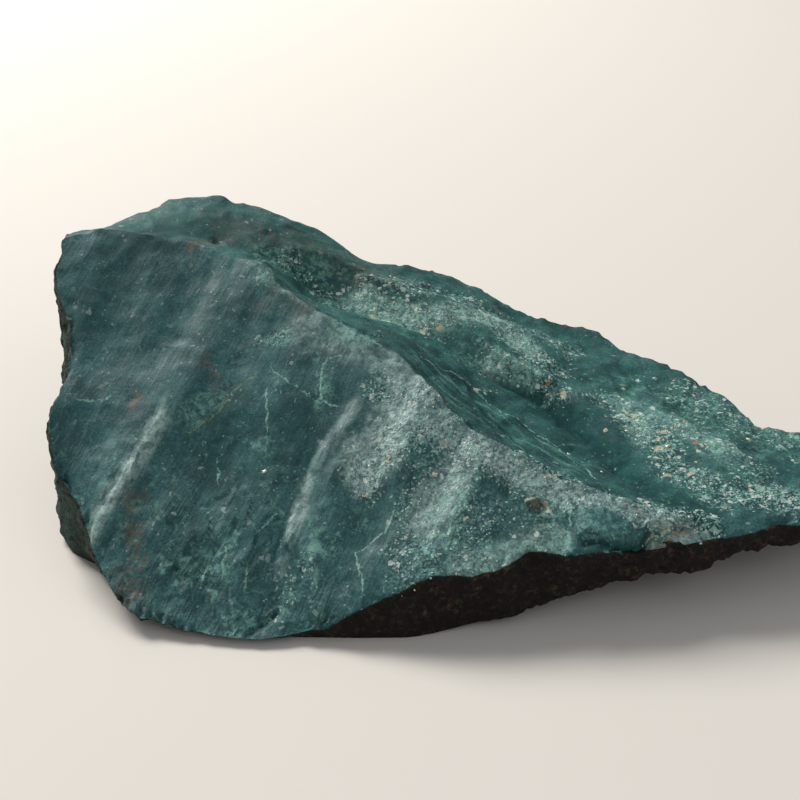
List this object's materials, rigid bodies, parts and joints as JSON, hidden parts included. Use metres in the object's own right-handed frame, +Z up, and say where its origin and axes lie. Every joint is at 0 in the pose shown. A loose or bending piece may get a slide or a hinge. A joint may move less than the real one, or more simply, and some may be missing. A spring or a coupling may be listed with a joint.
{
  "type": "rough jasper",
  "caption": "Rough broken lump of dark green jasper, thick at one end and thinning to a blade, with a flat sole it rests on.",
  "frame": {"origin": "middle of the bounding box in plan, at the level of the flat sole", "axes": "+Z up, +X from the thick end to the tip of the blade, -Y towards the broad front break"},
  "size_m": [0.1068, 0.0602, 0.0311],
  "materials": {
    "jasper": "rough, broken, half gloss"
  },
  "bodies": {
    "root": {"jasper": "jasper"}
  },
  "joints": []
}
